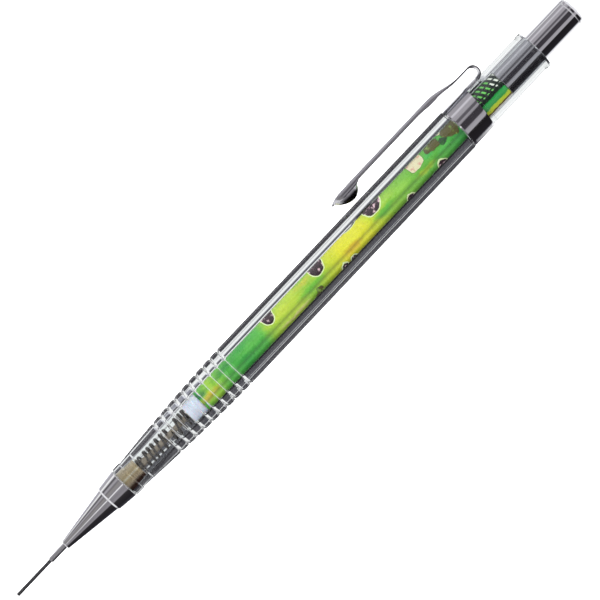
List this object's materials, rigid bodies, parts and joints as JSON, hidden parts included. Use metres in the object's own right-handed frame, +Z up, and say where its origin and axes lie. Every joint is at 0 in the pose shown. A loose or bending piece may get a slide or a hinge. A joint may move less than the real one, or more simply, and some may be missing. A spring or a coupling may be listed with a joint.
{
  "type": "clear-barrel mechanical pencil",
  "caption": "Clear-barrel mechanical lead holder: twelve-sided barrel with a ringed grip, chrome cone and push cap, sheet-metal spring clip, printed lead tube, brass chuck and return spring.",
  "frame": {"origin": "on the barrel flat that the pencil lies on, below the axis, halfway along the overall length from lead point to cap end", "axes": "+X along the pencil towards the push cap, +Y towards the clip, +Z up and square to the flat it lies on"},
  "size_m": [0.1532, 0.0128, 0.0092],
  "materials": {
    "clear_plastic": "clear moulded, polished",
    "chrome": "polished plating",
    "clip_steel": "plated sheet",
    "band_steel": "plated sheet",
    "cap_chrome": "polished plating",
    "sleeve_steel": "drawn tube",
    "housing_brass": "turned",
    "stem_brass": "turned",
    "jaw_brass": "turned",
    "ring_brass": "turned",
    "spring_steel": "drawn wire, dark",
    "milky_plastic": "moulded, translucent white",
    "white_plastic": "extruded",
    "green_film": "printed film",
    "collar_print": "printed film",
    "graphite": "polymer-bonded graphite",
    "spare_graphite": "polymer-bonded graphite",
    "retainer_rubber": "moulded",
    "eraser_vinyl": "white vinyl",
    "ferrule_plastic": "moulded",
    "pin_steel": "drawn wire"
  },
  "bodies": {
    "barrel": {"barrel": "clear_plastic", "clip_band": "band_steel", "chuck_housing": "housing_brass", "return_spring": "spring_steel"},
    "clip": {"clip_arm": "clip_steel"},
    "core": {"chuck_stem": "stem_brass", "chuck_connector": "milky_plastic", "lead_tube": "white_plastic", "printed_film": "green_film", "printed_collar": "collar_print", "spare_lead_1": "spare_graphite", "spare_lead_2": "spare_graphite", "spare_lead_3": "spare_graphite", "eraser": "eraser_vinyl", "eraser_ferrule": "ferrule_plastic", "cleaning_pin": "pin_steel"},
    "jaw_1": {"jaw_1": "jaw_brass"},
    "jaw_2": {"jaw_2": "jaw_brass"},
    "jaw_3": {"jaw_3": "jaw_brass"},
    "clutch_ring": {"clutch_ring": "ring_brass"},
    "cap": {"push_cap": "cap_chrome"},
    "tip_nut": {"lead_retainer": "retainer_rubber"},
    "tip": {"cone": "chrome", "lead_sleeve": "sleeve_steel"},
    "lead": {"lead": "graphite"}
  },
  "joints": [
    {"name": "push", "type": "slide", "parent": "barrel", "child": "core", "axis": [-1, 0, 0], "range_m": [0, 0.0025], "stiffness_N_per_m": 400, "springref_m": -0.002, "deforming": ["return_spring"]},
    {"name": "jaw_1_open", "type": "hinge", "parent": "core", "child": "jaw_1", "pos_m": [-0.04748, 0, 0.00521], "axis": [0, 1, 0], "range_deg": [0, 1.5]},
    {"name": "jaw_2_open", "type": "hinge", "parent": "core", "child": "jaw_2", "pos_m": [-0.04748, -0.00053, 0.00428], "axis": [0, -0.5, 0.866], "range_deg": [0, 1.5]},
    {"name": "jaw_3_open", "type": "hinge", "parent": "core", "child": "jaw_3", "pos_m": [-0.04748, 0.00053, 0.00428], "axis": [0, -0.5, -0.866], "range_deg": [0, 1.5]},
    {"name": "ring_slide", "type": "slide", "parent": "barrel", "child": "clutch_ring", "axis": [-1, 0, 0], "range_m": [0, 0.0008]},
    {"name": "cap_pull", "type": "slide", "parent": "core", "child": "cap", "axis": [1, 0, 0], "range_m": [0, 0.021]},
    {"name": "tip_travel", "type": "slide", "parent": "barrel", "child": "tip_nut", "axis": [-1, 0, 0], "range_m": [0, 0.003]},
    {"name": "tip_turn", "type": "hinge", "parent": "tip_nut", "child": "tip", "pos_m": [-0.04704, 0, 0.00459], "axis": [-1, 0, 0], "range_deg": [0, 2160]},
    {"name": "lead_feed", "type": "slide", "parent": "barrel", "child": "lead", "axis": [-1, 0, 0], "range_m": [-0.00913, 0.02]},
    {"name": "clip_flex", "type": "hinge", "parent": "barrel", "child": "clip", "pos_m": [0.05412, 0.00437, 0.00459], "axis": [0, 0, -1], "range_deg": [0, 5], "stiffness_Nm_per_rad": 1, "springref_deg": -1.15}
  ],
  "couplings": [
    {"joint": "jaw_1_open", "follows": "push", "rad_per_m": 10.472},
    {"joint": "jaw_2_open", "follows": "push", "rad_per_m": 10.472},
    {"joint": "jaw_3_open", "follows": "push", "rad_per_m": 10.472},
    {"joint": "ring_slide", "follows": "push", "ratio": 0.32},
    {"joint": "tip_turn", "follows": "tip_travel", "rad_per_m": 12566}
  ]
}
